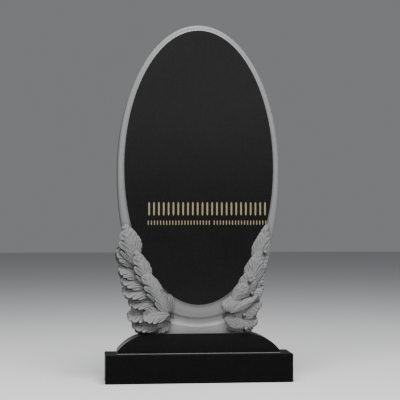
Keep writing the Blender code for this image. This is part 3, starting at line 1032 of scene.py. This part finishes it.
# painted shade: crevices where one leaf passes over another are darkened by how much of the view nearby stone
# shuts off
crevice = {
    "reach": 0.009,
    "lift": 0.0004,
    "rays": 8,
    "tilt": 55,
    "least": 0.175,               # share of the view shut off where the dark begins, and where it is full
    "full": 0.45,
    "darkAlready": 0.95,
}


def paintCreviceShade(pieces):
    points, faces = [], []
    for piece in pieces:
        start = len(points)
        points += [vertex.co.copy() for vertex in piece.data.vertices]
        faces += [[start + i for i in face.vertices] for face in piece.data.polygons]
    tree = BVHTree.FromPolygons(points, faces)
    tilt = math.radians(crevice["tilt"])
    turns = [2 * math.pi * i / crevice["rays"] for i in range(crevice["rays"])]
    for piece in pieces:
        for vertex, shadeAndBruise in zip(piece.data.vertices, piece.data.attributes["shadeAndBruise"].data):
            if shadeAndBruise.value > crevice["darkAlready"]:
                continue
            normal = vertex.normal
            aside = normal.orthogonal().normalized()
            other = normal.cross(aside)
            start = vertex.co + normal * crevice["lift"]
            shut = 0.0
            for turn in turns:
                level = aside * math.cos(turn) + other * math.sin(turn)
                ray = normal * math.cos(tilt) + level * math.sin(tilt)
                distance = tree.ray_cast(start, ray, crevice["reach"])[3]
                if distance is not None:
                    shut += (1 - distance / crevice["reach"]) / crevice["rays"]
            share = (shut - crevice["least"]) / (crevice["full"] - crevice["least"])
            shadeAndBruise.value = max(shadeAndBruise.value, min(1.0, share))


paintCreviceShade([oak, bay])
print("crevices darkened")


# two rows of shallow gilded strokes where an inscription goes; they spell nothing
strokes = {
    "depth": 0.0016,
    "proud": 0.0002,
    "runs": (
        {"left": -0.184, "right": 0.245, "low": 0.612, "high": 0.663, "count": 25, "width": 0.0058},
        {"left": -0.187, "right": 0.038, "low": 0.578, "high": 0.595, "count": 21, "width": 0.0036},
        {"left": 0.056, "right": 0.248, "low": 0.578, "high": 0.595, "count": 18, "width": 0.0036},
    ),
    "taper": 0.10,                # the chisel leaves each end pointed
    "toolMarks": 0.0,
    "markSize": 0.01,
    "sharpAngle": 30,
}


def strokeMesh():
    # a chisel cut one unit wide and high, pointed at both ends
    shape = bmesh.new()
    shoulder = 0.5 - strokes["taper"]
    outline = [(-0.5, -shoulder), (0, -0.5), (0.5, -shoulder), (0.5, shoulder), (0, 0.5), (-0.5, shoulder)]
    front = shape.faces.new([shape.verts.new((x, y, 0.5)) for x, y in outline])
    grown = bmesh.ops.extrude_face_region(shape, geom=[front])
    moved = [part for part in grown["geom"] if isinstance(part, bmesh.types.BMVert)]
    bmesh.ops.translate(shape, verts=moved, vec=(0, 0, -1))
    return meshFrom("strokeShape", shape)


def makeStrokes():
    points = []
    stand = Matrix(((1, 0, 0), (0, 0, -1), (0, 1, 0)))
    for run in strokes["runs"]:
        pitch = (run["right"] - run["left"]) / (run["count"] - 1)
        height = run["high"] - run["low"]
        for i in range(run["count"]):
            y = faceY + strokes["depth"] / 2 - strokes["proud"]
            place = Vector((run["left"] + i * pitch, y, run["low"] + height / 2))
            points.append((place, stand, Vector((run["width"], height, strokes["depth"])), 0))
    return setOut("inscriptionStrokes", points, [strokeMesh()], strokes, finishes["gilt"])


makeStrokes()


# a bead of joint paste squeezed out round the foot of the slab
joint = {
    "height": 0.0018,
    "reach": 0.0014,
    "lift": 0.0001,
    "inside": 0.001,              # how far the bead runs in under the stone
    "bulge": (0.75, 0.4),         # its roundest point, in shares of reach and height
    "topReach": 0.0002,
}


def makeJointBead():
    reach, height = joint["reach"], joint["height"]
    low = plinthHigh.z + joint["lift"]
    outwards = [(-1, -1), (1, -1), (1, 1), (-1, 1)]
    bulgeReach, bulgeHeight = joint["bulge"]
    profile = [
        (-joint["inside"], low),
        (reach, low),
        (reach * bulgeReach, low + height * bulgeHeight),
        (joint["topReach"], low + height),
        (-joint["inside"], low + height),
    ]
    shape = bmesh.new()
    rings = []
    for step, z in profile:
        ring = []
        for sx, sy in outwards:
            x = sx * slab["halfWidth"] + sx * step
            y = (faceY if sy < 0 else backY) + sy * step
            ring.append(shape.verts.new((x, y, z)))
        rings.append(ring)
    for a in range(len(rings)):
        b = (a + 1) % len(rings)
        for i in range(4):
            j = (i + 1) % 4
            shape.faces.new((rings[a][i], rings[a][j], rings[b][j], rings[b][i]))
    bead = linkNew("jointBead", meshFrom("jointBead", shape))
    bead.data.materials.append(finishes["paste"])
    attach(bead, "root")


makeJointBead()

plinth = frame["nodes"]["plinth"]
for materialSlot in plinth.material_slots:
    materialSlot.material = finishes["base"]
print("plinth finished")


# floor, lights and camera
floorLook = {"size": 14, "colour": (0.62, 0.62, 0.63, 1.0), "roughness": 0.9, "specular": 0.1}
sky = {"colour": (0.80, 0.82, 0.85, 1.0), "strength": 0.24}
# name, place, point it looks at, size and power
lights = (
    ("keyLight", (-1.6, -2.6, 3.4), (0, 0, 0.6), (1.2, 1.2), 70),
    ("topLight", (0.1, -1.3, 3.8), (0, 0, 0.5), (2.0, 2.0), 270),
    ("fillLight", (2.8, -3.2, 1.6), (0, 0, 0.6), (2.0, 2.0), 20),
    ("frontPanel", (-0.6, -9.0, 2.3), (0, 0, 0.9), (8.0, 2.4), 90),
)
view = {
    "place": (-0.4447, -4.561, 0.632),
    "yaw": 5.66,
    "pitch": 0.478,
    "lens": 111.09,
    "sensor": 36,
    "farthest": 100,
}


def makeFloor():
    shape = bmesh.new()
    bmesh.ops.create_grid(shape, x_segments=1, y_segments=1, size=floorLook["size"])
    bmesh.ops.translate(shape, verts=shape.verts, vec=(0, 0, plinthLow.z))
    floor = linkNew("studioFloor", meshFrom("studioFloor", shape))
    finish, nodes, links, shader = newFinish("paleFloor")
    shader.inputs["Base Color"].default_value = floorLook["colour"]
    shader.inputs["Roughness"].default_value = floorLook["roughness"]
    shader.inputs["Specular IOR Level"].default_value = floorLook["specular"]
    floor.data.materials.append(finish)


def makeLight(name, place, target, size, power):
    lamp = bpy.data.lights.new(name, "AREA")
    lamp.shape = "RECTANGLE"
    lamp.size, lamp.size_y = size
    lamp.energy = power
    thing = linkNew(name, lamp)
    thing.location = place
    thing.rotation_euler = (Vector(target) - Vector(place)).to_track_quat("-Z", "Y").to_euler()


def makeCamera():
    camera = bpy.data.cameras.new("camera")
    camera.sensor_width = view["sensor"]
    camera.lens = view["lens"]
    camera.clip_end = view["farthest"]
    thing = linkNew("camera", camera)
    thing.location = view["place"]
    thing.rotation_euler = (math.radians(90 + view["pitch"]), 0, -math.radians(view["yaw"]))
    bpy.context.scene.camera = thing


def makeWorld():
    world = bpy.data.worlds.new("studio")
    world.use_nodes = True
    background = world.node_tree.nodes["Background"]
    background.inputs["Color"].default_value = sky["colour"]
    background.inputs["Strength"].default_value = sky["strength"]
    bpy.context.scene.world = world


makeFloor()
for light in lights:
    makeLight(*light)
makeCamera()
makeWorld()
print("stage set")
